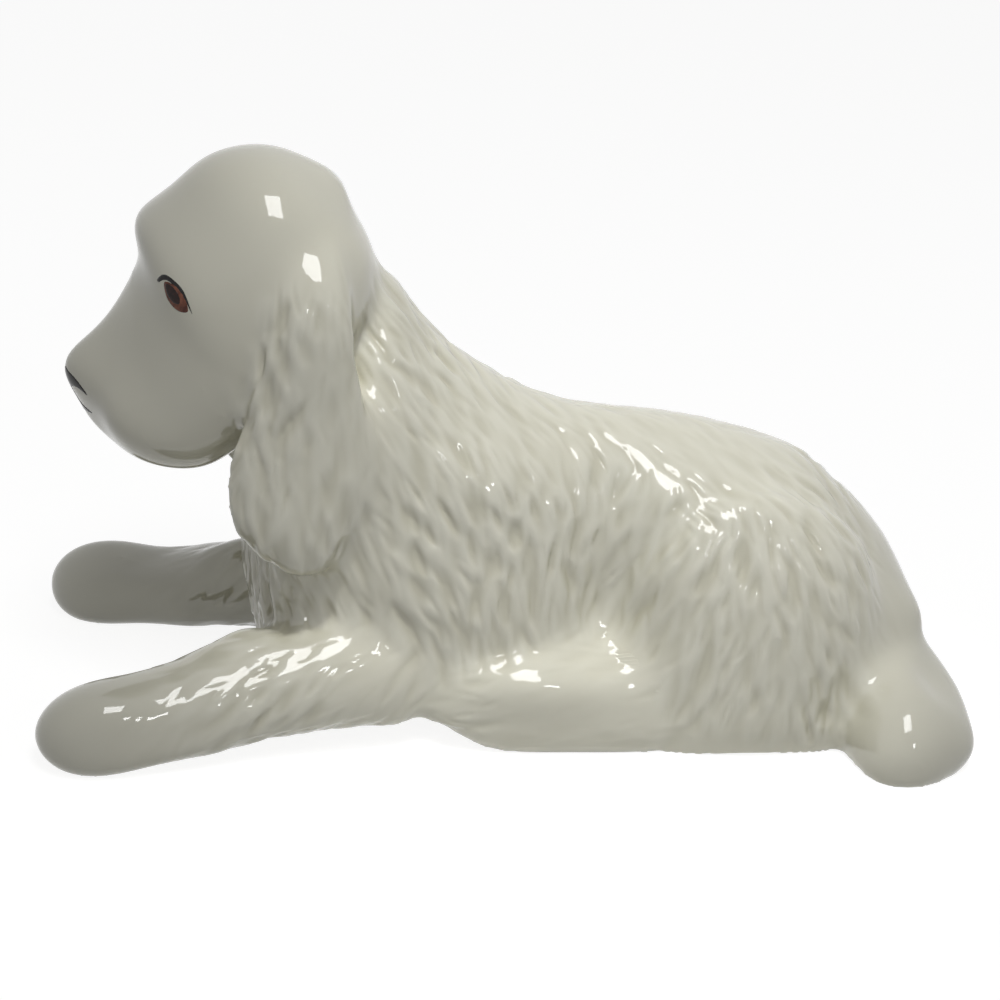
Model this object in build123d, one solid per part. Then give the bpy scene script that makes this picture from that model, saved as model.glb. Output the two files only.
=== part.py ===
from build123d import *
from math import cos, radians, sin
import os

# Lying puppy figure in glazed earthenware, millimetres.
# The dog faces -X, its left side is -Y, and z = 0 is the floor.
# The origin is in the flat base under the belly, on the dog's midline.

# Castings
WALL = 5.0
VENT_DIAMETER = 3.0
PRICK_DIAMETER = 3.0

# Body with the neck
BODY_FRONT = -83.0
BODY_LENGTH = 236.0
BACK_HEIGHT = 102.0
NECK_RISE = 50.0
CHEST_WIDTH = 86.0

# Haunches
HAUNCH_LENGTH = 108.0
HAUNCH_HEIGHT = 132.0
HAUNCH_DEPTH = 60.0
HAUNCH_SPAN = 53.0
HAUNCH_X = 84.0
HAUNCH_Z = 20.0

# Head
HEAD_LENGTH = 113.0
HEAD_HEIGHT = 82.0
HEAD_WIDTH = 74.0
HEAD_X = -94.0
HEAD_Z = 134.5
HEAD_PITCH = 45.0
THROAT_X = -85.0
THROAT_Z = 83.0
NAPE_X = -41.5
NAPE_Z = 152.0

# Ears
EAR_LENGTH = 110.0
EAR_WIDTH = 44.0
EAR_THICKNESS = 13.0
EAR_TOP_Z = 170.0
EAR_X = -66.0
EAR_SPREAD = 84.0

# Forelegs
FORELEG_LENGTH = 136.0
FORELEG_HEIGHT = 52.0
FORELEG_WIDTH = 38.0
FORELEG_SPLAY = 13.9
ELBOW_X = -16.0
ELBOW_SPAN = 54.0

# Hind feet
HIND_FOOT_LENGTH = 103.0
HIND_FOOT_HEIGHT = 41.0
HIND_FOOT_WIDTH = 36.0
HIND_FOOT_REAR = 78.0
HIND_FOOT_SPAN = 72.0

# Tail
TAIL_THICKNESS = 44.0
TAIL_ROOT_X = 117.0
TAIL_REACH_X = 141.0
TAIL_TIP_X = 124.0
TAIL_SWING = 70.0
TAIL_HEIGHT = 20.0

# Painted enamel
ENAMEL = 0.3
EYE_LENGTH = 15.6
EYE_HEIGHT = 7.2
EYE_TURN = 35.0
EYE_SLANT = 38.0
NOSE_WIDTH = 25.0
NOSE_HEIGHT = 13.0
NOSE_Z = 105.5

# Shape tables: shares of the piece's own length, height and half width.
# Body rows: along, underside, share of the back, share of the neck rise, then half widths
# low down, half way up and near the top.
BODY_ROWS = [
    (0.100, 0.17, 0.98, 0.62, 0.80, 0.86, 0.68),
    (0.165, 0.12, 1.00, 0.92, 0.90, 0.96, 0.66),
    (0.240, 0.06, 1.00, 0.62, 0.94, 1.02, 0.68),
    (0.315, -0.03, 1.00, 0.32, 0.95, 1.03, 0.71),
    (0.405, -0.06, 1.00, 0.12, 0.93, 0.97, 0.70),
    (0.515, -0.06, 1.00, 0.03, 0.87, 0.85, 0.67),
    (0.630, -0.06, 0.99, 0.00, 0.89, 0.89, 0.69),
    (0.745, -0.06, 0.93, 0.00, 0.96, 0.98, 0.69),
    (0.843, -0.06, 0.795, 0.00, 0.98, 0.98, 0.66),
    (0.912, -0.06, 0.645, 0.00, 0.90, 0.90, 0.62),
]
CHEST_TIP = 0.56
RUMP_TIP = 0.22
# Head rows: along the line from the back of the crown to the chin, throat side, brow side,
# then half widths near the throat, half way and near the brow.
HEAD_ROWS = [
    (0.330, -0.50, 0.450, 0.90, 1.00, 0.72),
    (0.430, -0.50, 0.470, 0.90, 1.00, 0.72),
    (0.505, -0.495, 0.455, 0.88, 0.98, 0.70),
    (0.560, -0.485, 0.385, 0.86, 0.95, 0.66),
    (0.615, -0.465, 0.330, 0.84, 0.91, 0.60),
    (0.680, -0.445, 0.293, 0.81, 0.86, 0.53),
    (0.770, -0.440, 0.268, 0.75, 0.79, 0.45),
]
CROWN_TIP = 0.07
CHIN_TIP = -0.02
# Ear rows: down the ear, front edge, rear edge, outward place, thickness.
EAR_ROWS = [
    (0.02, -0.10, 0.18, 0.52, 0.60),
    (0.11, -0.15, 0.25, 0.74, 0.90),
    (0.23, -0.26, 0.31, 0.87, 1.00),
    (0.41, -0.37, 0.37, 0.93, 1.00),
    (0.59, -0.46, 0.46, 0.96, 1.00),
    (0.75, -0.51, 0.44, 1.00, 1.05),
    (0.87, -0.45, 0.33, 1.03, 1.00),
    (0.955, -0.27, 0.24, 1.04, 0.75),
]
# Foreleg rows: along from the elbow, underside, top, half widths low, half way and near the top.
FORELEG_ROWS = [
    (0.20, 0.11, 0.83, 0.86, 1.00, 0.72),
    (0.37, 0.09, 0.75, 0.83, 0.96, 0.68),
    (0.54, 0.05, 0.65, 0.79, 0.91, 0.64),
    (0.70, 0.01, 0.55, 0.76, 0.87, 0.61),
    (0.85, -0.04, 0.49, 0.75, 0.86, 0.61),
]
PAW_TIP = 0.18
ELBOW_TIP = 0.52
# Hind foot rows: along from inside the haunch to the toes, underside, top, half widths.
HIND_FOOT_ROWS = [
    (0.30, -0.14, 0.96, 0.90, 0.98, 0.66),
    (0.50, -0.14, 1.00, 0.92, 1.00, 0.68),
    (0.70, -0.14, 0.98, 0.90, 0.98, 0.66),
    (0.84, -0.12, 0.90, 0.80, 0.88, 0.60),
]
TOE_TIP = 0.36
# Tail: how far the middle of its end lies over the floor, then rows along from the root, thickness.
TAIL_SINK = 0.16
TAIL_ROWS = [(0, 0.96), (0.30, 0.94), (0.52, 1.00), (0.70, 1.00), (0.84, 0.84), (0.94, 0.55)]
# Painted outlines: shares of the eye's or nose's own length and height.
IRIS = [(-0.37, -0.11), (-0.13, 0.22), (0.13, 0.25), (0.37, -0.08), (0.19, -0.44), (-0.10, -0.50)]
PUPIL = [(-0.28, -0.10), (-0.06, 0.14), (0.15, -0.10), (-0.05, -0.34)]
LID_LINE = [
    (-0.54, -0.39), (-0.51, 0.03), (-0.38, 0.28), (-0.06, 0.47), (0.19, 0.36), (0.46, 0.05),
    (0.19, 0.22), (-0.06, 0.26), (-0.32, 0.12), (-0.42, -0.08), (-0.47, -0.36),
]
NOSTRIL = [(-0.08, 0.52), (-0.22, 0.44), (-0.36, 0.31), (-0.50, 0.24), (-0.37, 0.21), (-0.22, 0.27), (-0.12, 0.27)]
NOSE_LINE = [
    (-0.03, 0.40), (0.03, 0.40), (0.03, -0.10), (0.07, -0.36), (0.16, -0.50),
    (0.00, -0.44), (-0.16, -0.50), (-0.07, -0.36), (-0.03, -0.10),
]


def outline(low, high, widths, place):
    """One closed smooth cross-section, alike on both sides; place maps (side, up) to a point in space."""
    tall = high - low
    levels = [low + tall * share for share in (0.15, 0.50, 0.83)]
    near = list(zip(widths, levels))
    far = [(-width, level) for width, level in near]
    corners = [far[1], far[0], (0, low)] + near + [(0, high), far[2]]
    halves = []
    for hand in (1, -1):
        loop = Edge.make_spline([place(hand * side, up) for side, up in corners], periodic=True)
        bottom = loop.param_at_point(place(0, low))
        top = loop.param_at_point(place(0, high))
        halves.append(loop.trim(bottom, top))
    return Wire(halves)


def cap(row, tip):
    """Rings that round a form off from its last row to its tip (station, level)."""
    station, low, high, widths = row
    rings = []
    for angle in (30, 54, 74):
        out = sin(radians(angle))
        shrink = cos(radians(angle))
        middle = (low + high) / 2
        centre = middle + out * (tip[1] - middle)
        half = shrink * (high - low) / 2
        rings.append((station + out * (tip[0] - station), centre - half, centre + half,
                      [shrink * width for width in widths]))
    return rings


def skin(rows, place, start, finish, inset=0.0):
    """Round-ended loft through rows (station, low, high, widths); inset moves it inward."""
    kept = []
    for station, low, high, widths in rows:
        kept.append((station, low + inset, high - inset, [width - inset for width in widths]))
    start = (start[0] + inset, start[1])
    finish = (finish[0] - inset, finish[1])
    rings = cap(kept[0], start)[::-1] + kept + cap(kept[-1], finish)
    wires = []
    for station, low, high, widths in rings:
        wires.append(outline(low, high, widths, lambda side, up, at=station: place(at, side, up)))
    ends = [Vertex(*place(tip[0], 0, tip[1])) for tip in (start, finish)]
    return Solid.make_loft([ends[0]] + wires + [ends[1]])


def above_floor(shape, height=0.0):
    """Cut a shape off flat at a height over the floor."""
    block = Box(900, 900, 400, align=(Align.CENTER, Align.CENTER, Align.MIN))
    return shape & Pos(0, 0, height) * block


def mirrored(shape):
    """The same piece for the dog's right side."""
    return mirror(shape, about=Plane.XZ)


def on_side(shape, side):
    """A piece modelled for the left side, for the side that is asked for."""
    return mirrored(shape) if side == "right" else shape


# Body: torso and neck in one loft along X, with the two haunches
def body_place(along, side, up):
    return (BODY_FRONT + along, side, up)


def torso(inset=0.0):
    rows = []
    for along, low, back, neck, *widths in BODY_ROWS:
        floor_line = low * BACK_HEIGHT
        top_line = back * BACK_HEIGHT + neck * NECK_RISE
        rows.append((along * BODY_LENGTH, floor_line, top_line, [w * CHEST_WIDTH / 2 for w in widths]))
    chest = (0, CHEST_TIP * BACK_HEIGHT)
    rump = (BODY_LENGTH, RUMP_TIP * BACK_HEIGHT)
    return skin(rows, body_place, chest, rump, inset)


def haunch(inset=0.0):
    sizes = (HAUNCH_LENGTH / 2 - inset, HAUNCH_DEPTH / 2 - inset, HAUNCH_HEIGHT / 2 - inset)
    return Pos(HAUNCH_X, -HAUNCH_SPAN / 2, HAUNCH_Z) * scale(Sphere(1), by=sizes)


seam_run = Vector(NAPE_X - THROAT_X, 0, NAPE_Z - THROAT_Z).normalized()
seam = Plane(
    origin=((NAPE_X + THROAT_X) / 2, 0, (NAPE_Z + THROAT_Z) / 2),
    x_dir=(seam_run.X, 0, seam_run.Z),
    z_dir=(-seam_run.Z, 0, seam_run.X),
)
head_side = seam * Box(600, 600, 300, align=(Align.CENTER, Align.CENTER, Align.MIN))

body_outer = above_floor(torso() + haunch() + mirrored(haunch())) - head_side
body_inner = above_floor(torso(WALL) + haunch(WALL) + mirrored(haunch(WALL)), WALL)


# Head: loft from the back of the crown to the chin
pitch = radians(HEAD_PITCH)


def head_place(along, side, up):
    ahead = along - HEAD_LENGTH / 2
    return (HEAD_X - ahead * cos(pitch) - up * sin(pitch), side, HEAD_Z - ahead * sin(pitch) + up * cos(pitch))


def head_form(inset=0.0):
    rows = []
    for along, low, high, *widths in HEAD_ROWS:
        sizes = [w * HEAD_WIDTH / 2 for w in widths]
        rows.append((along * HEAD_LENGTH, low * HEAD_HEIGHT, high * HEAD_HEIGHT, sizes))
    crown = (0, CROWN_TIP * HEAD_HEIGHT)
    chin = (HEAD_LENGTH, CHIN_TIP * HEAD_HEIGHT)
    return skin(rows, head_place, crown, chin, inset)


head_outer = head_form()
head_casting = (head_outer & head_side) - head_form(WALL)


# Ears: lofts down the side of the head
def ear_form():
    wires = []
    for down, front, rear, out, thick in EAR_ROWS:
        centre = Vector(EAR_X + (front + rear) / 2 * EAR_WIDTH, -out * EAR_SPREAD / 2, EAR_TOP_Z - down * EAR_LENGTH)
        oval = Ellipse((rear - front) / 2 * EAR_WIDTH, thick * EAR_THICKNESS / 2)
        wires.append((Pos(centre) * oval).wire())
    tip = Vertex(EAR_X, -1.04 * EAR_SPREAD / 2, EAR_TOP_Z - EAR_LENGTH)
    return Solid.make_loft(wires + [tip])


# Forelegs: straight lofts, splayed outward
splay = radians(FORELEG_SPLAY)


def foreleg_place(along, side, up):
    return (
        ELBOW_X - along * cos(splay) + side * sin(splay),
        -ELBOW_SPAN / 2 - along * sin(splay) - side * cos(splay),
        up,
    )


def foreleg_form(inset=0.0):
    rows = []
    for along, low, high, *widths in FORELEG_ROWS:
        sizes = [w * FORELEG_WIDTH / 2 for w in widths]
        rows.append((along * FORELEG_LENGTH, low * FORELEG_HEIGHT, high * FORELEG_HEIGHT, sizes))
    elbow = (0, ELBOW_TIP * FORELEG_HEIGHT)
    paw = (FORELEG_LENGTH, PAW_TIP * FORELEG_HEIGHT)
    return skin(rows, foreleg_place, elbow, paw, inset)


# Hind feet: lofts lying along the flank
def hind_foot_place(along, side, up):
    return (HIND_FOOT_REAR - along, -HIND_FOOT_SPAN / 2 - side, up)


def hind_foot_form(inset=0.0):
    rows = []
    for along, low, high, *widths in HIND_FOOT_ROWS:
        sizes = [w * HIND_FOOT_WIDTH / 2 for w in widths]
        rows.append((along * HIND_FOOT_LENGTH, low * HIND_FOOT_HEIGHT, high * HIND_FOOT_HEIGHT, sizes))
    rear = (0, TOE_TIP * HIND_FOOT_HEIGHT)
    toes = (HIND_FOOT_LENGTH, TOE_TIP * HIND_FOOT_HEIGHT)
    return skin(rows, hind_foot_place, rear, toes, inset)


# Tail: round sections along a curl that runs out of the rump to the left hip, half sunk in the floor
def tail_path():
    drop = TAIL_HEIGHT - TAIL_SINK * TAIL_THICKNESS
    back = TAIL_REACH_X - TAIL_TIP_X
    return Spline(
        (TAIL_ROOT_X, -0.08 * TAIL_SWING, TAIL_HEIGHT),
        (TAIL_REACH_X, -0.40 * TAIL_SWING, TAIL_HEIGHT - 0.62 * drop),
        (TAIL_REACH_X - 0.10 * back, -0.72 * TAIL_SWING, TAIL_HEIGHT - 0.95 * drop),
        (TAIL_TIP_X, -TAIL_SWING, TAIL_HEIGHT - 1.08 * drop),
    )


def tail_form(inset=0.0):
    path = tail_path()
    wires = []
    for along, share in TAIL_ROWS:
        if share * TAIL_THICKNESS > 3.2 * inset:
            spot = Plane(origin=path @ along, z_dir=path % along)
            wires.append((spot * Circle(share * TAIL_THICKNESS / 2 - inset)).wire())
    tip = [] if inset > 0 else [Vertex(*(path @ 1))]
    return Solid.make_loft(wires + tip)


def prick(start, end):
    """Round hole through a wall from one cavity to the next, so that no air is trapped in firing."""
    run = Vector(*end) - Vector(*start)
    pin = Cylinder(PRICK_DIAMETER / 2, run.length, align=(Align.CENTER, Align.CENTER, Align.MIN))
    return Plane(origin=start, z_dir=run) * pin


leg_x, leg_y, leg_z = foreleg_place(0.30 * FORELEG_LENGTH, 0, 0.60 * FORELEG_HEIGHT)
leg_prick = prick((leg_x, 0.40 * leg_y, leg_z), (leg_x, leg_y - 0.20 * FORELEG_WIDTH, leg_z))
foot_x, foot_y, foot_z = hind_foot_place(0.55 * HIND_FOOT_LENGTH, 0, 0.40 * HIND_FOOT_HEIGHT)
foot_prick = prick((foot_x, 0.50 * foot_y, foot_z), (foot_x, foot_y - 0.30 * HIND_FOOT_WIDTH, foot_z))
tail_spot = tail_path() @ 0.75
tail_prick = prick((TAIL_ROOT_X - WALL, 0.20 * tail_spot.Y, TAIL_HEIGHT), tuple(tail_spot))
vent = Pos(HAUNCH_X, 0, 0) * Cylinder(VENT_DIAMETER / 2, 4 * WALL)

body_casting = body_outer - body_inner - vent - tail_prick
for hole in (leg_prick, foot_prick):
    body_casting = body_casting - hole - mirrored(hole)
ear = ear_form()
foreleg = above_floor(foreleg_form())
foreleg_shell = foreleg - above_floor(foreleg_form(WALL), WALL)
hind_foot_shell = above_floor(hind_foot_form()) - above_floor(hind_foot_form(WALL), WALL)
tail = above_floor(tail_form()) - above_floor(tail_form(WALL), WALL) - body_outer


# Enamel: thin coats on the glazed head, the pupil over the iris
def stamp(shares, length, height, spot):
    """Column standing on a painted outline, through the surface at spot."""
    loop = Edge.make_spline([(x * length, y * height) for x, y in shares], periodic=True)
    return extrude(spot * Face(Wire([loop])), amount=2 * HEAD_WIDTH / 5, both=True)


def coat(column, outer, inner):
    """The layer of a painted column that lies between two skins of the head."""
    return (column & outer) - inner


turn = radians(EYE_TURN)
slant = radians(EYE_SLANT)
eye = Plane(
    origin=head_place(0.504 * HEAD_LENGTH, -0.40 * HEAD_WIDTH, 0.228 * HEAD_HEIGHT),
    x_dir=(cos(slant) * cos(turn), -cos(slant) * sin(turn), -sin(slant)),
    z_dir=(-sin(turn), -cos(turn), 0),
)
nose = Plane(origin=(HEAD_X - 0.42 * HEAD_LENGTH, 0, NOSE_Z), x_dir=(0, 1, 0), z_dir=(1, 0, 0))
first_coat = head_form(-ENAMEL)
second_coat = head_form(-2 * ENAMEL)
lid_column = stamp(LID_LINE, EYE_LENGTH, EYE_HEIGHT, eye)
iris_column = stamp(IRIS, EYE_LENGTH, EYE_HEIGHT, eye)
pupil_column = stamp(PUPIL, EYE_LENGTH, EYE_HEIGHT, eye)
nostril_column = stamp(NOSTRIL, NOSE_WIDTH, NOSE_HEIGHT, nose)
nose_line = coat(stamp(NOSE_LINE, NOSE_WIDTH, NOSE_HEIGHT, nose), first_coat, head_outer)

pieces = {"body_casting": body_casting, "head_casting": head_casting, "tail": tail, "nose_line": nose_line}
for side in ("left", "right"):
    pieces[side + "_ear"] = on_side(ear, side) - head_outer - body_outer
    pieces[side + "_foreleg"] = on_side(foreleg_shell, side) - body_outer
    pieces[side + "_hind_foot"] = on_side(hind_foot_shell, side) - body_outer - on_side(foreleg, side)
    lid = on_side(lid_column, side)
    pieces[side + "_lid_line"] = coat(lid, first_coat, head_outer)
    pieces[side + "_iris"] = coat(on_side(iris_column, side), first_coat, head_outer) - lid
    pieces[side + "_pupil"] = coat(on_side(pupil_column, side), second_coat, first_coat)
    pieces[side + "_nostril"] = coat(on_side(nostril_column, side), first_coat, head_outer)

os.makedirs("parts", exist_ok=True)
for node, shape in pieces.items():
    export_step(shape, "parts/" + node + ".step")
    print(node, [round(solid.volume, 1) for solid in shape.solids()])
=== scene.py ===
import math

import bpy
import numpy as np
import openvdb
from mathutils import Matrix, Vector
from mathutils.bvhtree import BVHTree
from mathutils.geometry import delaunay_2d_cdt
from mathutils.kdtree import KDTree


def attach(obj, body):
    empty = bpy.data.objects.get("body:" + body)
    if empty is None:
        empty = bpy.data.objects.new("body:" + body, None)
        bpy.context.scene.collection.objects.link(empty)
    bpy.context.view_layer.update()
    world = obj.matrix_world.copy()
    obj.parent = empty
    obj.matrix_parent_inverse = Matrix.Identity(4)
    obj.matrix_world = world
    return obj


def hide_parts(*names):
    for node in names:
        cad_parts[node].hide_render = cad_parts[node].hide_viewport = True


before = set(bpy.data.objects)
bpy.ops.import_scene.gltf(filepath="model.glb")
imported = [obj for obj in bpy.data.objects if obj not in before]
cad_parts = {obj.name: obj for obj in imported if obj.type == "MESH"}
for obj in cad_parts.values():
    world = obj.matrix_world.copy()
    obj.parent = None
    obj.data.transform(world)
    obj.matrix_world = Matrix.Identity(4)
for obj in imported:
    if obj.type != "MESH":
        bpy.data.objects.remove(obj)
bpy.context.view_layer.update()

# The skin is worked out in millimetres and becomes metres where a mesh is made.
MM = 0.001
EARS = ["left_ear", "right_ear"]
FORELEGS = ["left_foreleg", "right_foreleg"]
HIND_FEET = ["left_hind_foot", "right_hind_foot"]
CASTINGS = ["body_casting", "head_casting", *EARS, *FORELEGS, *HIND_FEET, "tail"]


def smoothstep(start, end, value):
    """0 at start, 1 at end, with soft ends."""
    share = np.clip((value - start) / (end - start), 0.0, 1.0)
    return share * share * (3.0 - 2.0 * share)


def unit(vectors):
    """Rows scaled to length 1."""
    return vectors / np.maximum(np.linalg.norm(vectors, axis=-1, keepdims=True), 1e-9)


# Skin: all castings as one glazed form with soft joints

# Size of the skin's quads, and radius that slip and glaze leave in inner corners.
CELL = 0.85
FILLET = 3.2
# Cells that are worked out on each side of a surface.
BAND_CELLS = 3.0
# Middle of the firing vent in the base, and half the width of the plug that closes it.
VENT = (84.0, 0.0, 2.5)
VENT_PLUG = 3.0
# Points lower than this belong to the flat base.
BASE_BAND = 0.6
FIRST_SOFT_ROUNDS = 8
FIRST_SOFT_SHARE = 0.5
# Rounds of filling between two measures of the normals.
NORMALS_EVERY = 10


def casting_soup():
    """Corners, triangles and casting numbers of all castings together."""
    points, triangles, owners = [], [], []
    count = 0
    for number, name in enumerate(CASTINGS):
        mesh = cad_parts[name].data
        mesh.calc_loop_triangles()
        corners = np.empty(len(mesh.vertices) * 3, np.float32)
        mesh.vertices.foreach_get("co", corners)
        faces = np.empty(len(mesh.loop_triangles) * 3, np.int32)
        mesh.loop_triangles.foreach_get("vertices", faces)
        points.append(corners.reshape(-1, 3) / MM)
        triangles.append(faces.reshape(-1, 3) + count)
        owners.append(np.full(len(faces) // 3, number))
        count += len(mesh.vertices)
    return np.concatenate(points), np.concatenate(triangles), np.concatenate(owners)


def plug_box():
    """A closed box that fills the vent from the floor up."""
    signs = np.array([(x, y, z) for x in (-1, 1) for y in (-1, 1) for z in (-1, 1)], float)
    halves = np.array([VENT_PLUG, VENT_PLUG, VENT[2]])
    quads = np.array([
        (0, 1, 3, 2), (4, 6, 7, 5), (0, 4, 5, 1), (2, 3, 7, 6), (0, 2, 6, 4), (1, 5, 7, 3),
    ])
    return np.array(VENT) + signs * halves, quads


def fused_skin(points, triangles):
    """One closed skin round all castings, with inner corners rounded to FILLET."""
    grid = openvdb.createLinearTransform(CELL)
    wide_band = FILLET / CELL + BAND_CELLS
    plug_points, plug_quads = plug_box()
    soup = np.concatenate([points, plug_points]).astype(np.float32)
    quads = (plug_quads + len(points)).astype(np.uint32)
    solid = openvdb.FloatGrid.createLevelSetFromPolygons(
        soup, triangles.astype(np.uint32), quads, grid,
        exBandWidth=wide_band, inBandWidth=BAND_CELLS)
    swollen = solid.convertToPolygons(FILLET)
    closed = openvdb.FloatGrid.createLevelSetFromPolygons(
        *swollen, grid, exBandWidth=BAND_CELLS, inBandWidth=wide_band)
    skin, skin_triangles, skin_quads = closed.convertToPolygons(-FILLET)
    if len(skin_triangles):
        skin_quads = np.concatenate([skin_quads, skin_triangles[:, [0, 1, 2, 2]]])
    return skin.astype(float), skin_quads.astype(np.int64)[:, ::-1]


class Skin:
    """Points and quads of the fused form, with the sums that smoothing needs."""

    def __init__(self, points, quads):
        self.points = points
        self.quads = quads
        pairs = np.concatenate([quads[:, [corner, (corner + 1) % 4]] for corner in range(4)])
        pairs = np.unique(np.sort(pairs, axis=1), axis=0)
        pairs = pairs[pairs[:, 0] != pairs[:, 1]]
        self.starts = np.concatenate([pairs[:, 0], pairs[:, 1]])
        self.ends = np.concatenate([pairs[:, 1], pairs[:, 0]])
        self.valence = np.maximum(np.bincount(self.starts, minlength=len(points)), 1)

    def average(self, values):
        """Mean of each point's neighbours."""
        count = len(self.points)
        columns = values.reshape(count, -1).T
        sums = [np.bincount(self.starts, column[self.ends], count) for column in columns]
        return (np.stack(sums, axis=1) / self.valence[:, None]).reshape(values.shape)

    def smooth(self, values, rounds, share=0.5):
        """Values blurred over the skin."""
        for _ in range(rounds):
            values = values + share * (self.average(values) - values)
        return values

    def relax(self, rounds, share):
        """Smooths the form itself, by one share or one per point; the flat base keeps its height."""
        base = self.points[:, 2] < BASE_BAND
        heights = self.points[:, 2].copy()
        for _ in range(rounds):
            self.points = self.points + share * (self.average(self.points) - self.points)
            self.points[base, 2] = heights[base]

    def fill(self, rounds, share):
        """Fills creases like wet slip: points only move outward."""
        for turn in range(rounds):
            if turn % NORMALS_EVERY == 0:
                facing = self.normals()
            shift = share * (self.average(self.points) - self.points)
            outward = np.sum(shift * facing, axis=1, keepdims=True) > 0
            self.points = self.points + shift * outward

    def normals(self):
        """Area-weighted unit normals at the points."""
        a, b, c, d = (self.points[self.quads[:, corner]] for corner in range(4))
        across = np.cross(c - a, d - b)
        total = np.zeros_like(self.points)
        for corner in range(4):
            for axis in range(3):
                total[:, axis] += np.bincount(
                    self.quads[:, corner], across[:, axis], len(self.points))
        return unit(total)


# Modelling: small swellings and hollows of the clay, and joints wiped soft

# Each move is a centre, a reach along x, y and z, and a shift.
SINGLE_MOVES = {
    "forehead": ((-104, 0, 177), (16, 26, 14), (-1.4, 0, 1.8)),
    "crown": ((-84, 0, 189), (17, 24, 14), (0.2, 0, -1.0)),
    "brow": ((-118, 0, 163), (8, 20, 8), (-1.3, 0, 0)),
    "back_of_head": ((-50, 0, 166), (9, 24, 10), (-1.0, 0, 0)),
    "nape": ((-46, 0, 156), (10, 24, 10), (1.2, 0, 1.0)),
    "withers": ((-5, 0, 117), (30, 28, 14), (0.2, 0, 0.9)),
    "dip_under_brow": ((-119, 0, 153), (10, 22, 11), (1.7, 0, 0.2)),
    "nose_tip": ((-141, 0, 113), (9, 13, 9), (-2.2, 0, 0.2)),
    "chin": ((-110, 0, 91), (24, 40, 9), (0.4, 0, 1.4)),
    "rump": ((126, 0, 72), (17, 34, 15), (2.2, 0, 2.4)),
    "under_rump": ((141, 0, 52), (9, 26, 9), (-1.4, 0, 0)),
    "tail_root": ((144, -26, 37), (10, 15, 10), (4.6, 0, 1.6)),
    "tail_top": ((151, -47, 29), (9, 15, 9), (-3.8, 0.6, -3.4)),
    "tail_end": ((157, -62, 8), (8, 12, 10), (3.6, 0, 0)),
    "before_tail": ((116, -56, 6), (9, 9, 8), (0, -2.2, 0)),
    "right_breast": ((-74, 45, 70), (16, 16, 16), (-7.0, 0, -3.0)),
    "right_foreleg_top": ((-116, 46, 31), (46, 16, 13), (0, 0, -5.0)),
}
# Moves on the dog's left side that the right side mirrors.
PAIRED_MOVES = {
    "muzzle": ((-136, -14, 106), (12, 11, 20), (3.0, 0, 0)),
    "neck_behind_ear": ((-40, -37, 112), (10, 12, 24), (0, -2.2, 0)),
    "crease_behind_ear": ((-45, -36, 142), (9, 10, 12), (-1.0, -3.0, 0)),
    "ear_front": ((-87, -44, 92), (7, 13, 22), (-1.9, 0, 0)),
    "foreleg_top": ((-84, -38, 35), (12, 9, 10), (0, 0.6, 3.6)),
    "wrist": ((-125, -62, 20), (16, 9, 9), (0, -1.8, 1.4)),
    "paw": ((-140, -66, 13), (13, 13, 13), (-1.3, -0.6, 0.8)),
    "foreleg_edge": ((-105, -68, 3), (26, 9, 8), (0, -2.6, 0)),
    "under_elbow": ((-20, -47, 2), (10, 17, 9), (3.0, 0, 5.2)),
    "behind_elbow": ((-11, -51, 2), (12, 14, 7), (0, 0, 2.0)),
    "elbow": ((-26, -48, 14), (13, 12, 10), (0, -0.4, -5.6)),
    "haunch_foot": ((90, -56, 2), (28, 8, 6), (0, 1.2, 1.4)),
    "waist": ((42, -46, 46), (12, 12, 12), (-0.8, 5.0, 0)),
    "upper_waist": ((36, -38, 58), (12, 12, 20), (0, 3.0, 0)),
    "haunch_front": ((56, -38, 72), (12, 14, 24), (-0.6, -3.2, 0)),
    "haunch_top": ((76, -30, 86), (26, 12, 13), (0, -2.8, 0.8)),
    "loin": ((38, -28, 84), (11, 12, 14), (0, 2.6, -1.2)),
    "shoulder_blade": ((-6, -34, 92), (22, 12, 16), (0, -2.8, 0.4)),
    "ear_root": ((-66, -38, 150), (12, 10, 16), (-2.6, 0, 0)),
    "groin": ((34, -47, 39), (13, 11, 11), (0, 1.6, -2.6)),
    "hind_foot": ((4, -60, 24), (30, 10, 9), (0, -6.0, 3.6)),
    "over_hind_foot": ((4, -45, 37), (32, 8, 7), (0, 0.4, -2.2)),
}
# Joints that the potter wiped smooth with slip: centre and reach, the right side again mirrored.
SLIP_SPOTS = {
    "nape": ((-46, 0, 152), (14, 44, 16)),
    "ear_rear": ((-43, -43, 100), (11, 16, 52)),
    "ear_root": ((-62, -38, 160), (18, 13, 12)),
    "crease_behind_ear": ((-48, -39, 141), (10, 12, 14)),
    "foreleg_joint": ((-42, -45, 36), (20, 18, 14)),
    "elbow": ((-25, -47, 24), (14, 14, 16)),
    "haunch_top": ((75, -22, 98), (42, 16, 10)),
    "hind_foot_joint": ((40, -52, 24), (14, 14, 18)),
    "tail_side": ((126, -42, 34), (16, 20, 14)),
    "tail_root": ((140, -24, 40), (13, 16, 14)),
}
# Hollows and lobes that the modeller's thumb left smooth.
THUMB_SPOTS = {
    "waist": ((38, -40, 58), (16, 14, 26)),
    "hind_foot": ((6, -54, 28), (34, 14, 12)),
    "tail": ((150, -45, 24), (18, 26, 26)),
}
SOFT_ROUNDS = 70
SOFT_SHARE = 0.6
FILL_ROUNDS = 180
FILL_SHARE = 0.7


def nearness(points, centre, reach):
    """1 at the centre, falling softly to 0 beyond the reach."""
    return np.exp(-np.sum(((points - np.array(centre)) / np.array(reach)) ** 2, axis=1))


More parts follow.
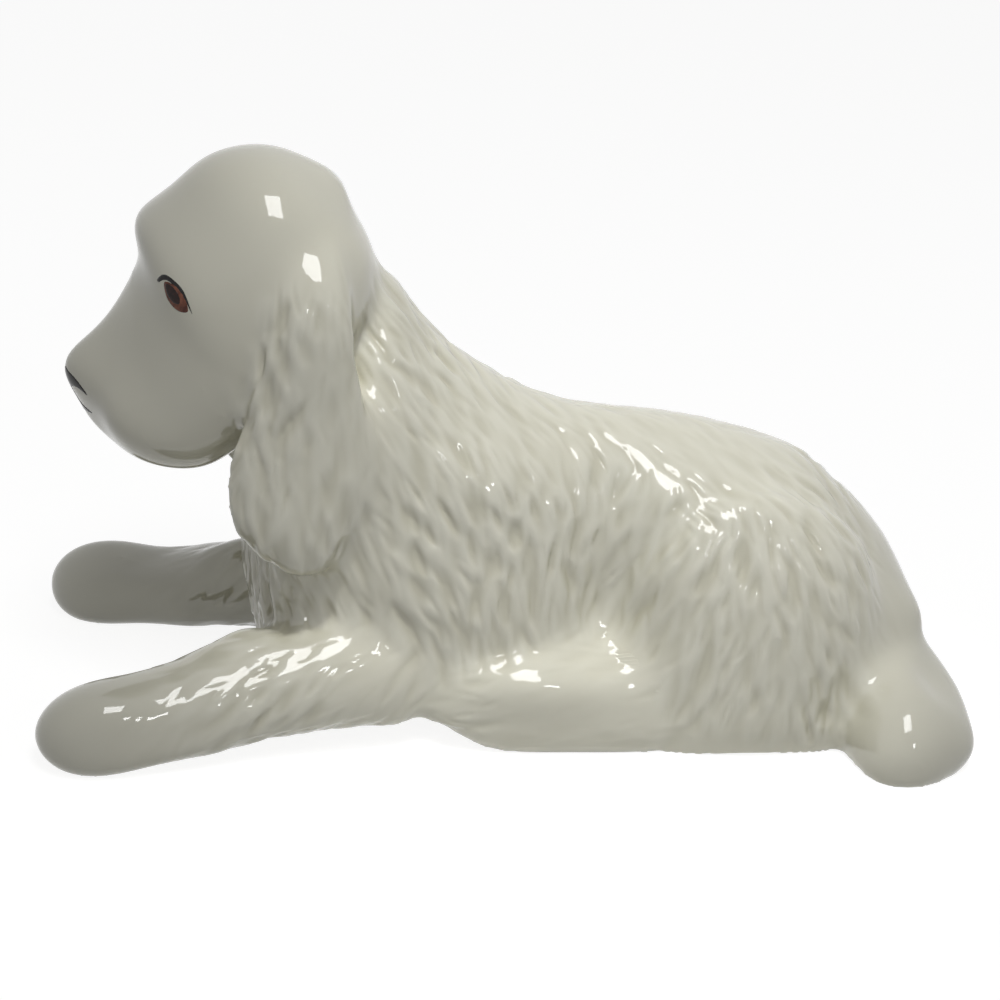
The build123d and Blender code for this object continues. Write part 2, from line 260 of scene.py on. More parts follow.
def both_sides(rows):
    """Rows of centre, reach and shift, each also mirrored to the dog's right side."""
    mirror = np.array([1, -1, 1])
    flip = (mirror, np.ones(3), mirror)
    return rows + [tuple(way * np.array(part) for way, part in zip(flip, row)) for row in rows]


def spot_weight(points, spots):
    """Largest nearness to any of the spots."""
    rows = both_sides(list(spots.values()))
    return np.max([nearness(points, *row) for row in rows], axis=0)


def model_clay(skin):
    """Makes the small moves of the form, then wipes the joints and hollows smooth."""
    moves = list(SINGLE_MOVES.values()) + both_sides(list(PAIRED_MOVES.values()))
    skin.points = skin.points + sum(
        nearness(skin.points, centre, reach)[:, None] * np.array(shift)
        for centre, reach, shift in moves)
    skin.points[:, 2] = np.maximum(skin.points[:, 2], 0.0)
    slip = spot_weight(skin.points, SLIP_SPOTS)
    thumb = np.maximum(slip, spot_weight(skin.points, THUMB_SPOTS))
    skin.fill(FILL_ROUNDS, FILL_SHARE * slip[:, None])
    skin.relax(SOFT_ROUNDS, SOFT_SHARE * thumb[:, None])


# Coat: strokes modelled in the clay, laid along the lie of the hair

SEED = 1907
# Lean of the hair from straight down, toward the rear on the shoulder and forward on the waist,
# and the stretches of x in which the first ends and the second begins.
SHOULDER_LEAN = math.radians(27.0)
SHOULDER_END = (-30, 22)
WAIST_LEAN = math.radians(13.0)
WAIST_START = (12, 40)
# Hair of the haunch spreads from a point over it.
HAUNCH_START = (38, 62)
HAUNCH_FAN_X = 86.0
HAUNCH_FAN_Z = 150.0
# Hair of the back runs to the rear and outward where the skin faces up behind the neck.
BACK_FACING = (0.45, 0.85)
BACK_START = (-45, -15)
BACK_WAY = (0.72, 0.62, -0.2)
EAR_WAY = (0.05, 0.0, -1.0)
FORELEG_WAY = (-0.75, 0.0, -0.65)
HIND_FOOT_WAY = (-0.95, 0.0, -0.3)
# Share of the strokes' depth that is lost, and where: skin facing, z or x at start and end.
UNDERSIDE_LOSS, UNDERSIDE_FACING = 0.75, (-0.2, -0.8)
TOP_LOSS, TOP_FACING = 0.55, (0.75, 0.95)
RUMP_LOSS, RUMP_START = 0.9, (118, 140)
BASE_FADE = (3.0, 14.0)
SHOULDER_GAIN, SHOULDER_GAIN_END = 0.3, (0, 40)
SLIP_LOSS = 0.6
THUMB_LOSS = 0.4
# Depth of the strokes on each casting, against 1 on the body.
EAR_DEPTH, EAR_FADE = 0.85, (168, 140)
FORELEG_DEPTH, FORELEG_FADE = 0.75, (-128, -75)
HIND_FOOT_DEPTH = 0.45
TAIL_DEPTH = 0.05
FLOW_SOFT_ROUNDS = 12
STRENGTH_SOFT_ROUNDS = 14
# Strokes of the broad and of the fine tool: apart is a share of the usual distance.
BROAD_STROKES = {"length": 18.0, "width": 5.6, "depth": 0.92, "apart": 1.0, "tries": 7000}
FINE_STROKES = {"length": 14.0, "width": 2.2, "depth": 0.48, "apart": 1.2, "tries": 10000}
BROAD_SOFT_ROUNDS = 4
FINE_SOFT_ROUNDS = 1
# Usual distance of strokes, in lengths and in widths.
ALONG_GAP = 0.62
ACROSS_GAP = 0.95
# How much strokes differ from each other.
SIZE_RANGE = (0.6, 1.4)
DEPTH_RANGE = (0.4, 1.25)
BEND_SPREAD = 0.012
SWAY_SPREAD = 0.17
# Section of a stroke, in widths: the groove, and the clay that it pushes up on both sides.
GROOVE_HALF = 0.42
LIP_SHARE = 0.42
LIP_PLACE = 0.85
LIP_HALF = 0.36
# A stroke stays on skin that faces its own way.
SAME_FACING = 0.25
# Patches of firmer and lighter pressure.
PATCH_COUNT = 260
PATCH_REACH = (16, 16, 16)
PATCH_CHANGE = 0.5
PATCH_GAIN = 1.2
FLOOR_FADE = (0.5, 5.0)


def belongs(names, castings):
    """True at the points of the castings that are asked for."""
    return np.isin(names, [CASTINGS.index(casting) for casting in castings])


def hair_flow(points, facing, names):
    """Lie of the hair along the skin at each point."""
    x, y, z = points.T
    side = np.where(y < 0, -1.0, 1.0)
    zero = np.zeros_like(x)
    lean = SHOULDER_LEAN * (1 - smoothstep(*SHOULDER_END, x))
    lean = lean - WAIST_LEAN * smoothstep(*WAIST_START, x)
    flow = np.stack([np.sin(lean), zero, -np.cos(lean)], axis=1)
    haunch = smoothstep(*HAUNCH_START, x)[:, None]
    fan = unit(np.stack([x - HAUNCH_FAN_X, zero, z - HAUNCH_FAN_Z], axis=1))
    flow = flow * (1 - haunch) + fan * haunch
    back = smoothstep(*BACK_FACING, facing[:, 2])[:, None] * smoothstep(*BACK_START, x)[:, None]
    rearward, outward, down = BACK_WAY
    flow = flow * (1 - back) + back * np.stack(
        [rearward + zero, outward * side, down + zero], axis=1)
    flow[belongs(names, EARS)] = EAR_WAY
    flow[belongs(names, FORELEGS)] = FORELEG_WAY
    flow[belongs(names, HIND_FEET)] = HIND_FOOT_WAY
    return flow - facing * np.sum(flow * facing, axis=1, keepdims=True)


def stroke_strength(points, facing, names):
    """Depth of the strokes at each point, against 1 on the middle of the body."""
    x, _, z = points.T
    upward = facing[:, 2]
    strength = np.ones_like(x)
    strength *= 1 - UNDERSIDE_LOSS * smoothstep(*UNDERSIDE_FACING, upward)
    strength *= smoothstep(*BASE_FADE, z)
    strength *= 1 - TOP_LOSS * smoothstep(*TOP_FACING, upward)
    strength *= 1 - RUMP_LOSS * smoothstep(*RUMP_START, x)
    strength *= 1 + SHOULDER_GAIN - SHOULDER_GAIN * smoothstep(*SHOULDER_GAIN_END, x)
    ear = belongs(names, EARS)
    foreleg = belongs(names, FORELEGS)
    strength[belongs(names, ["head_casting"])] = 0.0
    strength[ear] = EAR_DEPTH * smoothstep(*EAR_FADE, z[ear])
    strength[foreleg] = FORELEG_DEPTH * smoothstep(*FORELEG_FADE, x[foreleg])
    strength[belongs(names, HIND_FEET)] = HIND_FOOT_DEPTH
    strength[belongs(names, ["tail"])] = TAIL_DEPTH
    strength *= 1 - SLIP_LOSS * spot_weight(points, SLIP_SPOTS)
    strength *= 1 - THUMB_LOSS * spot_weight(points, THUMB_SPOTS)
    return strength


def scatter(skin, flow, strength, along, across, tries, rng):
    """Stroke places that keep clear of each other along and across the hair."""
    chance = strength / strength.sum()
    picks = rng.choice(len(chance), size=tries, p=chance)
    steps = [(x, y, z) for x in (-1, 0, 1) for y in (-1, 0, 1) for z in (-1, 0, 1)]
    cells = {}
    kept = []
    for pick in picks:
        place = skin.points[pick]
        i, j, k = np.floor(place / along).astype(int)
        near = [other for x, y, z in steps for other in cells.get((i + x, j + y, k + z), ())]
        if near:
            gap = skin.points[near] - place
            run = gap @ flow[pick]
            off = np.linalg.norm(gap - run[:, None] * flow[pick], axis=1)
            if np.any((run / along) ** 2 + (off / across) ** 2 < 1.0):
                continue
        cells.setdefault((i, j, k), []).append(pick)
        kept.append(pick)
    return kept


def comb(skin, facing, tree, flow, strength, rng, length, width, depth, apart, tries):
    """Height of the strokes at each point: grooves below, small ridges beside them."""
    groove = np.zeros(len(skin.points))
    ridge = np.zeros(len(skin.points))
    along = ALONG_GAP * apart * length
    across = ACROSS_GAP * apart * width
    for pick in scatter(skin, flow, strength, along, across, tries, rng):
        long = length * rng.uniform(*SIZE_RANGE)
        wide = width * rng.uniform(*SIZE_RANGE)
        bend = rng.normal(0.0, BEND_SPREAD)
        sway = rng.normal(0.0, SWAY_SPREAD)
        deep = depth * strength[pick] * rng.uniform(*DEPTH_RANGE)
        place, normal = skin.points[pick], facing[pick]
        run_way = unit(flow[pick] + sway * np.cross(normal, flow[pick]))
        side_way = np.cross(normal, run_way)
        found = np.array([item[1] for item in tree.find_range(place, 0.5 * long + wide)])
        offset = skin.points[found] - place
        run = offset @ run_way / (0.5 * long)
        off = (offset @ side_way - bend * (offset @ run_way) ** 2) / wide
        ends = np.clip(1 - run * run, 0, None) ** 1.2
        taper = 0.75 + 0.25 * run
        cut = deep * ends * np.exp(-(off / (GROOVE_HALF * taper)) ** 2)
        lip = LIP_SHARE * deep * ends * np.exp(-((np.abs(off) - LIP_PLACE) / LIP_HALF) ** 2)
        same = facing[found] @ normal > SAME_FACING
        groove[found] = np.where(same, np.maximum(groove[found], cut), groove[found])
        ridge[found] = np.where(same, np.maximum(ridge[found], lip), ridge[found])
    return ridge - groove


def patches(skin, rng):
    """Uneven pressure of the modeller's hand, round 1."""
    low, high = skin.points.min(axis=0), skin.points.max(axis=0)
    spots = rng.uniform(low, high, (PATCH_COUNT, 3))
    signs = rng.choice((-1.0, 1.0), PATCH_COUNT)
    total = np.zeros(len(skin.points))
    for spot, sign in zip(spots, signs):
        total += sign * nearness(skin.points, spot, PATCH_REACH)
    return 1.0 + PATCH_CHANGE * np.tanh(PATCH_GAIN * total)


def dress(skin, names):
    """Models the coat into the skin and returns the relief that was added."""
    rng = np.random.default_rng(SEED)
    facing = skin.normals()
    tree = KDTree(len(skin.points))
    for number, point in enumerate(skin.points):
        tree.insert(point, number)
    tree.balance()
    flow = unit(skin.smooth(hair_flow(skin.points, facing, names), FLOW_SOFT_ROUNDS))
    strength = skin.smooth(stroke_strength(skin.points, facing, names), STRENGTH_SOFT_ROUNDS)
    strength = strength * patches(skin, rng)
    broad = comb(skin, facing, tree, flow, strength, rng, **BROAD_STROKES)
    fine = comb(skin, facing, tree, flow, strength, rng, **FINE_STROKES)
    relief = skin.smooth(broad, BROAD_SOFT_ROUNDS) + skin.smooth(fine, FINE_SOFT_ROUNDS)
    relief *= smoothstep(*FLOOR_FADE, skin.points[:, 2])
    skin.points = skin.points + facing * relief[:, None]
    return relief


# Pieces: the skin split along the slip joints, each a closed mesh

BORDER_SOFT_ROUNDS = 10


def name_quads(skin, tree, owners):
    """Casting number of each point and of each quad, with even borders."""
    names = np.array([owners[tree.find_nearest(point)[2]] for point in skin.points])
    marks = (names[:, None] == np.arange(len(CASTINGS))).astype(float)
    marks = skin.smooth(marks, BORDER_SOFT_ROUNDS)
    names = marks.argmax(axis=1)
    quads = marks[skin.quads].sum(axis=1).argmax(axis=1)
    return names, tidy_names(skin.quads, quads)


def quad_sides(quad):
    """Directed sides of a quad; a triangle is a quad that repeats a corner."""
    return [(start, end) for start, end in zip(quad, np.roll(quad, -1)) if start != end]


def quad_neighbours(quads):
    """Numbers of the quads that share a side with each quad."""
    sharers = {}
    for number, quad in enumerate(quads):
        for start, end in quad_sides(quad):
            sharers.setdefault((min(start, end), max(start, end)), []).append(number)
    touching = [[] for _ in quads]
    for pair in sharers.values():
        if len(pair) == 2:
            touching[pair[0]].append(pair[1])
            touching[pair[1]].append(pair[0])
    return touching


def tidy_names(quads, names):
    """Hands every stray island of quads to the piece round it."""
    touching = quad_neighbours(quads)
    names = names.copy()
    seen = np.zeros(len(quads), bool)
    islands = []
    for first in range(len(quads)):
        if seen[first]:
            continue
        seen[first] = True
        island = [first]
        for at in island:
            for other in touching[at]:
                if not seen[other] and names[other] == names[first]:
                    seen[other] = True
                    island.append(other)
        islands.append(island)
    largest = {}
    for island in islands:
        name = names[island[0]]
        if len(island) > len(largest.get(name, ())):
            largest[name] = island
    for island in islands:
        if island is largest[names[island[0]]]:
            continue
        around = [names[other] for at in island for other in touching[at]
                  if names[other] != names[at]]
        if around:
            names[island] = max(set(around), key=around.count)
    return names


def border_loops(quads):
    """Closed runs of border points of a patch of quads."""
    forward = {}
    for quad in quads:
        for side in quad_sides(quad):
            forward[side] = True
    nexts = {}
    for start, end in forward:
        if (end, start) not in forward:
            nexts.setdefault(start, []).append(end)
    loops = []
    while nexts:
        first = next(iter(nexts))
        loop = [first]
        at = first
        while True:
            following = nexts[at].pop()
            if not nexts[at]:
                del nexts[at]
            if following == first:
                break
            loop.append(following)
            at = following
        loops.append(loop)
    return loops


def make_piece(name, skin, facing, relief, quads):
    """A closed mesh of one casting's share of the skin; its joints are closed inside the figure."""
    used = np.unique(quads)
    where = np.full(len(skin.points), -1)
    where[used] = np.arange(len(used))
    points = list(skin.points[used] * MM)
    faces = []
    shades = []
    for quad in quads:
        corners = [corner for slot, corner in enumerate(quad) if corner != quad[slot - 1]]
        faces.append([int(where[corner]) for corner in corners])
        shades.extend(facing[corner] for corner in corners)
    caps = []
    for loop in border_loops(quads):
        ring = skin.points[loop] * MM
        centre = len(points)
        points.append(ring.mean(axis=0))
        for start, end in zip(loop, loop[1:] + loop[:1]):
            caps.append([int(where[end]), int(where[start]), centre])
    for cap in caps:
        a, b, c = (points[corner] for corner in cap)
        shades.extend([unit(np.cross(b - a, c - a))] * 3)
    piece = new_mesh_object(name, points, faces + caps)
    mesh = piece.data
    depth = mesh.attributes.new("relief", "FLOAT", "POINT")
    values = np.zeros(len(points), np.float32)
    values[:len(used)] = relief[used]
    depth.data.foreach_set("value", values)
    mesh.normals_split_custom_set([tuple(shade) for shade in shades])
    mesh.validate()
    return piece


def new_mesh_object(name, points, faces):
    """A smooth-shaded mesh object in the scene."""
    mesh = bpy.data.meshes.new(name)
    mesh.from_pydata([tuple(point) for point in points], [], faces)
    mesh.polygons.foreach_set("use_smooth", [True] * len(mesh.polygons))
    return link(bpy.data.objects.new(name, mesh))


def link(obj):
    """Puts an object in the scene."""
    bpy.context.scene.collection.objects.link(obj)
    return obj


# Materials: glaze and enamel

# Glaze that lies deep in a groove, greyer there with painted shade as well, thin on a ridge, and the
# warm clouds of the clay under it.
SHADED_DEEP_GLAZE = (0.600, 0.580, 0.460, 1)
THIN_GLAZE = (0.735, 0.720, 0.610, 1)
WARM_CLAY = (0.680, 0.655, 0.530, 1)
# Thick and thin colour of each enamel.
IRIS_COLOURS = (0.10, 0.026, 0.014, 1), (0.30, 0.105, 0.060, 1)
PUPIL_COLOURS = (0.016, 0.005, 0.004, 1), (0.040, 0.011, 0.008, 1)
BLACK_COLOURS = (0.010, 0.010, 0.010, 1), (0.022, 0.021, 0.020, 1)


def add_node(tree, kind, sockets=None, **settings):
    """A shader node with its settings and the values of its sockets."""
    node = tree.nodes.new(kind)
    for name, value in settings.items():
        setattr(node, name, value)
    for name, value in (sockets or {}).items():
        node.inputs[name].default_value = value
    return node


def new_material(name, sockets):
    """A material, its node tree and its shader with the shader's own values."""
    material = bpy.data.materials.new(name)
    material.use_nodes = True
    tree = material.node_tree
    shader = tree.nodes["Principled BSDF"]
    for socket, value in sockets.items():
        shader.inputs[socket].default_value = value
    return material, tree, shader


def glaze_material():
    """Clear glossy glaze over cream earthenware, thicker in the grooves and greyer there with
    painted shade.
    """
    material, tree, shader = new_material("glaze", {"Roughness": 0.045, "IOR": 1.66})
    place = add_node(tree, "ShaderNodeTexCoord")
    relief = add_node(tree, "ShaderNodeAttribute", attribute_name="relief")
    # Painted shade: the deeper a stroke's groove, the darker the glaze colour.
    depth = add_node(tree, "ShaderNodeMapRange", {"From Min": -0.6, "From Max": 0.2})
    tree.links.new(relief.outputs["Fac"], depth.inputs["Value"])
    pooled_and_shaded = add_node(tree, "ShaderNodeMix", {"A": SHADED_DEEP_GLAZE, "B": THIN_GLAZE}, data_type="RGBA")
    tree.links.new(depth.outputs["Result"], pooled_and_shaded.inputs["Factor"])
    cloud = add_node(tree, "ShaderNodeTexNoise", {"Scale": 34.0, "Detail": 3.0})
    tree.links.new(place.outputs["Object"], cloud.inputs["Vector"])
    share = add_node(
        tree, "ShaderNodeMapRange", {"From Min": 0.45, "From Max": 0.75, "To Max": 0.30})
    tree.links.new(cloud.outputs["Fac"], share.inputs["Value"])
    tint = add_node(tree, "ShaderNodeMix", {"B": WARM_CLAY}, data_type="RGBA")
    tree.links.new(share.outputs["Result"], tint.inputs["Factor"])
    tree.links.new(pooled_and_shaded.outputs["Result"], tint.inputs["A"])
    tree.links.new(tint.outputs["Result"], shader.inputs["Base Color"])
    ripple = add_node(tree, "ShaderNodeTexNoise", {"Scale": 120.0, "Detail": 1.0})
    tree.links.new(place.outputs["Object"], ripple.inputs["Vector"])
    bump = add_node(tree, "ShaderNodeBump", {"Strength": 0.05, "Distance": 0.0015})
    tree.links.new(ripple.outputs["Fac"], bump.inputs["Height"])
    tree.links.new(bump.outputs["Normal"], shader.inputs["Normal"])
    return material


def enamel_material(name, colours, scale):
    """Fired brush colour with thicker and thinner places."""
    material, tree, shader = new_material(name, {"Roughness": 0.16, "IOR": 1.3})
    thick, thin = colours
    place = add_node(tree, "ShaderNodeTexCoord")
    brush = add_node(tree, "ShaderNodeTexNoise", {"Scale": scale, "Detail": 2.0})
    tree.links.new(place.outputs["Object"], brush.inputs["Vector"])
    share = add_node(tree, "ShaderNodeMapRange", {"From Min": 0.35, "From Max": 0.70})
    tree.links.new(brush.outputs["Fac"], share.inputs["Value"])
    mix = add_node(tree, "ShaderNodeMix", {"A": thick, "B": thin}, data_type="RGBA")
    tree.links.new(share.outputs["Result"], mix.inputs["Factor"])
    tree.links.new(mix.outputs["Result"], shader.inputs["Base Color"])
    return material


# Enamel: thin painted shapes laid on the skin

EYE_SIZES = (15.6, 7.2)
EYE_TURN = math.radians(35.0)
EYE_SLANT = math.radians(38.0)
EYE_PLACE = (-107.9, -29.6, 147.4)
NOSE_SIZES = (25.0, 13.0)
NOSE_PLACE = (-141.5, 0.0, 105.5)
NOSE_AXES = ((0, -1, 0), (0, 0, 1), (-1, 0, 0))
# Outlines as shares of the eye's or the nose's width and height.
IRIS = [
    (-0.37, -0.08), (-0.14, 0.28), (0.13, 0.30), (0.40, -0.04), (0.22, -0.42), (-0.10, -0.46),
]
PUPIL = [
    (-0.33, -0.05), (-0.14, 0.17), (0.10, 0.10), (0.17, -0.14), (0.03, -0.33), (-0.18, -0.30),
]
LID_LINE = [
    (-0.54, -0.39), (-0.51, 0.03), (-0.38, 0.28), (-0.06, 0.44), (0.19, 0.34), (0.50, 0.02),
    (0.19, 0.23), (-0.06, 0.29), (-0.32, 0.13), (-0.42, -0.08), (-0.47, -0.36),
]
NOSTRIL = [
    (0.04, 0.60), (0.18, 0.56), (0.31, 0.42), (0.42, 0.12), (0.31, 0.20), (0.20, 0.20),
    (0.07, 0.14),
]
NOSE_LINE = [
    (-0.06, 0.40), (0.06, 0.40), (0.075, -0.10), (0.13, -0.28), (0.33, -0.42),
    (0.00, -0.48), (-0.33, -0.42), (-0.13, -0.28), (-0.075, -0.10),
]
# Height of each coat over the skin in its middle and at its rim, and depth of its underside.
IRIS_THICK = 0.10
PUPIL_THICK = 0.19
LID_THICK = 0.16
NOSE_THICK = 0.14
RIM_THICK = 0.03
PAINT_DEPTH = 0.35
# Distance between the coat's points, points on each stretch of an outline, and a clear distance
# from which the skin is looked for.
PAINT_STEP = 0.35
CURVE_STEPS = 8
PAINT_REACH = 40


def round_outline(shares, width, height):
    """A closed smooth line through the outline's points."""
    corners = np.array(shares) * (width, height)
    before, after, later = (np.roll(corners, shift, axis=0) for shift in (1, -1, -2))
    spots = []
    for share in np.linspace(0, 1, CURVE_STEPS, endpoint=False):
        spots.append(0.5 * (2 * corners + (after - before) * share
                            + (2 * before - 5 * corners + 4 * after - later) * share ** 2
                            + (3 * corners - before - 3 * after + later) * share ** 3))
    return np.stack(spots, axis=1).reshape(-1, 2)


def fill_outline(line):
    """Flat points and triangles inside a closed line."""
    low, high = line.min(axis=0), line.max(axis=0)
    across = np.arange(low[0], high[0], PAINT_STEP)
    up = np.arange(low[1], high[1], PAINT_STEP)
    grid = np.stack(np.meshgrid(across, up), axis=-1).reshape(-1, 2)
    edges = [(number, (number + 1) % len(line)) for number in range(len(line))]
    spots = [Vector(spot) for spot in np.concatenate([line, grid])]
    points, _, faces, _, _, _ = delaunay_2d_cdt(spots, edges, [], 1, 1e-6)
    used = sorted({corner for face in faces for corner in face})
    where = {corner: number for number, corner in enumerate(used)}
    flat = np.array([points[corner] for corner in used])
    return flat, [[where[corner] for corner in face] for face in faces]


def paint(name, shares, sizes, place, axes, tree, thick):
    """A thin coat laid on the skin; axes are across, up and toward the painter."""
    across, up, toward = (np.array(axis) for axis in axes)
    flat, faces = fill_outline(round_outline(shares, *sizes))
    if np.dot(np.cross(across, up), toward) < 0:
        faces = [face[::-1] for face in faces]
    sides = {}
    for face in faces:
        for start, end in zip(face, face[1:] + face[:1]):
            sides[(start, end)] = True
    rim = {start for start, end in sides if (end, start) not in sides}
    top, bottom = [], []
    for number, (run, rise) in enumerate(flat):
        spot = np.array(place) + run * across + rise * up
        hit, normal, _, _ = tree.ray_cast(Vector(spot + PAINT_REACH * toward), Vector(-toward))
        proud = RIM_THICK if number in rim else thick
        top.append((np.array(hit) + proud * np.array(normal)) * MM)
        bottom.append((np.array(hit) - PAINT_DEPTH * np.array(normal)) * MM)
    count = len(flat)
    shell = [list(face) for face in faces]
    shell += [[corner + count for corner in reversed(face)] for face in faces]
    for start, end in sides:
        if (end, start) not in sides:
            shell.append([end, start, start + count, end + count])
    piece = new_mesh_object(name, top + bottom, shell)
    piece.data.validate()
    return piece


def eye_axes():
    """Painter's across, up and toward for the dog's left eye."""
    level = math.cos(EYE_SLANT)
    across = np.array(
        [level * math.cos(EYE_TURN), -level * math.sin(EYE_TURN), -math.sin(EYE_SLANT)])
    toward = np.array([-math.sin(EYE_TURN), -math.cos(EYE_TURN), 0.0])
    return across, unit(np.cross(toward, across)), toward


def place_piece(piece, node, material):
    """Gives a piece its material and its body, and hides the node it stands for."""
    piece.data.materials.append(material)
    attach(piece, "root")
    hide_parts(node)


def make_castings(skin, quad_names, relief):
    """The glazed pieces, one for each casting."""
    facing = skin.normals()
    glaze = glaze_material()
    for number, node in enumerate(CASTINGS):
        quads = skin.quads[quad_names == number]
        place_piece(make_piece(node + "_skin", skin, facing, relief, quads), node, glaze)


def make_face(tree):
    """The painted eyes and nose; the right side mirrors the left."""
    iris_paint = enamel_material("iris_enamel", IRIS_COLOURS, 420.0)
    pupil_paint = enamel_material("pupil_enamel", PUPIL_COLOURS, 900.0)
    black_paint = enamel_material("black_enamel", BLACK_COLOURS, 800.0)
    eye_layers = [
        ("iris", IRIS, IRIS_THICK, "iris_enamel", iris_paint),
        ("pupil", PUPIL, PUPIL_THICK, "pupil_enamel", pupil_paint),
        ("lid_line", LID_LINE, LID_THICK, "black_enamel", black_paint),
    ]
    for side, hand in (("left", 1), ("right", -1)):
        mirror = np.array([1, hand, 1])
        axes = [mirror * axis for axis in eye_axes()]
        for part, shares, thick, slot, material in eye_layers:
            name = f"{side}_{part}"
            coat = paint(name + "_coat", shares, EYE_SIZES, mirror * EYE_PLACE, axes, tree, thick)
            place_piece(coat, name, material)
        axes = [mirror * axis for axis in NOSE_AXES]
        name = f"{side}_nostril"
        coat = paint(name + "_coat", NOSTRIL, NOSE_SIZES, NOSE_PLACE, axes, tree, NOSE_THICK)
        place_piece(coat, name, black_paint)
    coat = paint("nose_line_coat", NOSE_LINE, NOSE_SIZES, NOSE_PLACE, NOSE_AXES, tree, NOSE_THICK)
    place_piece(coat, "nose_line", black_paint)


# Stage: pale floor, soft light, the photograph's camera; lengths here are in metres

FLOOR_HALF = 6.0
# Floor as it lights the figure, and as it is seen: a thin matt layer that keeps the shadow
# over an even glow.
FLOOR_MATT = (0.60, 0.60, 0.58, 1)
FLOOR_THIN = (0.34, 0.34, 0.34, 1)
FLOOR_GLOW = 0.88
WHITE = (1, 1, 1, 1)
ROOM_COLOUR = (1.0, 1.0, 0.985, 1)
ROOM_STRENGTH = 0.16
WINDOW_TARGET = Vector((0.0, 0.0, 0.09))
POOL_TARGET = Vector((0.030, -0.034, 0.050))
POOL_SOFTNESS = 0.12
CAMERA_TARGET = Vector((-0.0003, -0.0230, 0.0788))
CAMERA_DISTANCE = 0.753
CAMERA_ELEVATION = 22.2
CAMERA_AZIMUTH = -9.5
CAMERA_ROLL = math.radians(4.8)
CAMERA_LENS = 82.3
CAMERA_SENSOR = 36.0
CAMERA_CLIP = 0.01


def seen_rays(tree):
    """1 for camera, mirror and glass rays, 0 for the light that falls on the figure."""
    path = add_node(tree, "ShaderNodeLightPath")
    either = path.outputs["Is Camera Ray"]
    for name in ("Is Glossy Ray", "Is Transmission Ray"):
        more = add_node(tree, "ShaderNodeMath", operation="MAXIMUM")
        tree.links.new(either, more.inputs[0])
        tree.links.new(path.outputs[name], more.inputs[1])
        either = more.outputs["Value"]
    return either


def show_by_rays(tree, kind, lit, seen):
    """Joins what lights the figure and what is seen to the tree's output."""
    mix = add_node(tree, "ShaderNodeMixShader")
    tree.links.new(seen_rays(tree), mix.inputs["Fac"])
    tree.links.new(lit, mix.inputs[1])
    tree.links.new(seen, mix.inputs[2])
    tree.links.new(mix.outputs["Shader"], add_node(tree, kind).inputs["Surface"])


def make_floor():
    mesh = bpy.data.meshes.new("floor")
    corners = [(x * FLOOR_HALF, y * FLOOR_HALF, 0) for x, y in ((-1, -1), (1, -1), (1, 1), (-1, 1))]
    mesh.from_pydata(corners, [], [(0, 1, 2, 3)])
    floor = link(bpy.data.objects.new("floor", mesh))
    material = bpy.data.materials.new("floor")
    material.use_nodes = True
    tree = material.node_tree
    tree.nodes.clear()
    matt = add_node(tree, "ShaderNodeBsdfDiffuse", {"Color": FLOOR_MATT})
    thin = add_node(tree, "ShaderNodeBsdfDiffuse", {"Color": FLOOR_THIN})
    glow = add_node(tree, "ShaderNodeEmission", {"Strength": FLOOR_GLOW})
    seen = add_node(tree, "ShaderNodeAddShader")
    tree.links.new(thin.outputs["BSDF"], seen.inputs[0])
    tree.links.new(glow.outputs["Emission"], seen.inputs[1])
    show_by_rays(tree, "ShaderNodeOutputMaterial", matt.outputs["BSDF"], seen.outputs["Shader"])
    mesh.materials.append(material)


def make_world():
    world = bpy.data.worlds.new("studio")
    bpy.context.scene.world = world
    world.use_nodes = True
    tree = world.node_tree
    tree.nodes.clear()
    room = add_node(
        tree, "ShaderNodeBackground", {"Color": ROOM_COLOUR, "Strength": ROOM_STRENGTH})
    white = add_node(tree, "ShaderNodeBackground", {"Color": WHITE, "Strength": 1.0})
    show_by_rays(
        tree, "ShaderNodeOutputWorld", room.outputs["Background"], white.outputs["Background"])


def way_from(azimuth, elevation):
    """Unit vector from the figure outward; azimuth 0 is the dog's left side, angles in degrees."""
    a, e = math.radians(azimuth), math.radians(elevation)
    return Vector((math.sin(a) * math.cos(e), -math.cos(a) * math.cos(e), math.sin(e)))


def hang_lamp(lamp, azimuth, elevation, distance, target):
    """Puts a lamp in the scene with its light toward the target."""
    way = way_from(azimuth, elevation)
    obj = link(bpy.data.objects.new(lamp.name, lamp))
    turn = (-way).to_track_quat("-Z", "Y").to_matrix().to_4x4()
    obj.matrix_world = Matrix.Translation(target + distance * way) @ turn
    return obj


def make_window(name, azimuth, elevation, distance, size, power):
    """A soft window whose reflection shows on the glaze."""
    lamp = bpy.data.lights.new(name, "AREA")
    lamp.shape = "RECTANGLE"
    lamp.size, lamp.size_y = size
    lamp.energy = power
    hang_lamp(lamp, azimuth, elevation, distance, WINDOW_TARGET)


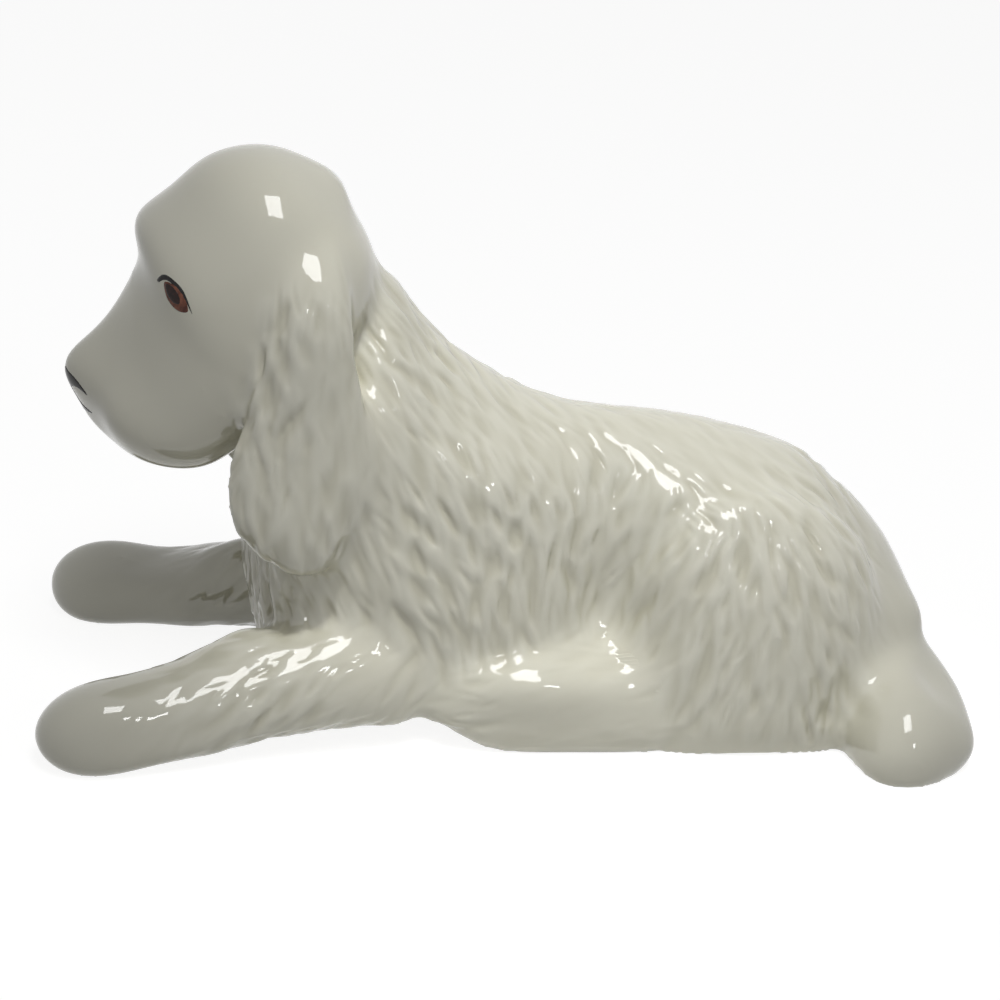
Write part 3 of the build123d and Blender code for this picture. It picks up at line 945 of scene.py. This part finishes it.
def make_pool(azimuth, elevation, distance, radius, power):
    """A soft pool of light on the middle of the figure, without a reflection of its own."""
    lamp = bpy.data.lights.new("pool", "SPOT")
    lamp.energy = power
    lamp.spot_size = 2 * math.atan(radius / distance)
    lamp.spot_blend = 1.0
    lamp.shadow_soft_size = POOL_SOFTNESS
    hang_lamp(lamp, azimuth, elevation, distance, POOL_TARGET).visible_glossy = False


def make_camera():
    """A camera at the photograph's angle, a little rolled as in the photograph."""
    camera = bpy.data.cameras.new("camera")
    camera.sensor_width = CAMERA_SENSOR
    camera.lens = CAMERA_LENS
    camera.clip_start = CAMERA_CLIP
    obj = link(bpy.data.objects.new("camera", camera))
    back = way_from(CAMERA_AZIMUTH, CAMERA_ELEVATION)
    level = Vector((0, 0, 1)).cross(back).normalized()
    upright = back.cross(level)
    right = level * math.cos(CAMERA_ROLL) + upright * math.sin(CAMERA_ROLL)
    up = upright * math.cos(CAMERA_ROLL) - level * math.sin(CAMERA_ROLL)
    turn = Matrix((right, up, back)).transposed().to_4x4()
    obj.matrix_world = Matrix.Translation(CAMERA_TARGET + CAMERA_DISTANCE * back) @ turn
    bpy.context.scene.camera = obj


soup_points, soup_triangles, soup_owners = casting_soup()
skin = Skin(*fused_skin(soup_points, soup_triangles))
skin.relax(FIRST_SOFT_ROUNDS, FIRST_SOFT_SHARE)
cad_tree = BVHTree.FromPolygons(soup_points.tolist(), soup_triangles.tolist())
point_names, quad_names = name_quads(skin, cad_tree, soup_owners)
model_clay(skin)
relief = dress(skin, point_names)
make_castings(skin, quad_names, relief)
make_face(BVHTree.FromPolygons(skin.points.tolist(), skin.quads.tolist()))

make_floor()
make_world()
make_window("window", azimuth=4.0, elevation=65.0, distance=1.3, size=(0.36, 0.52), power=4.0)
make_window("doorway", azimuth=20.0, elevation=28.0, distance=1.3, size=(0.10, 0.14), power=0.45)
make_pool(azimuth=-4.0, elevation=76.0, distance=1.1, radius=0.072, power=138.0)
make_camera()
bpy.context.scene.view_settings.view_transform = "Standard"
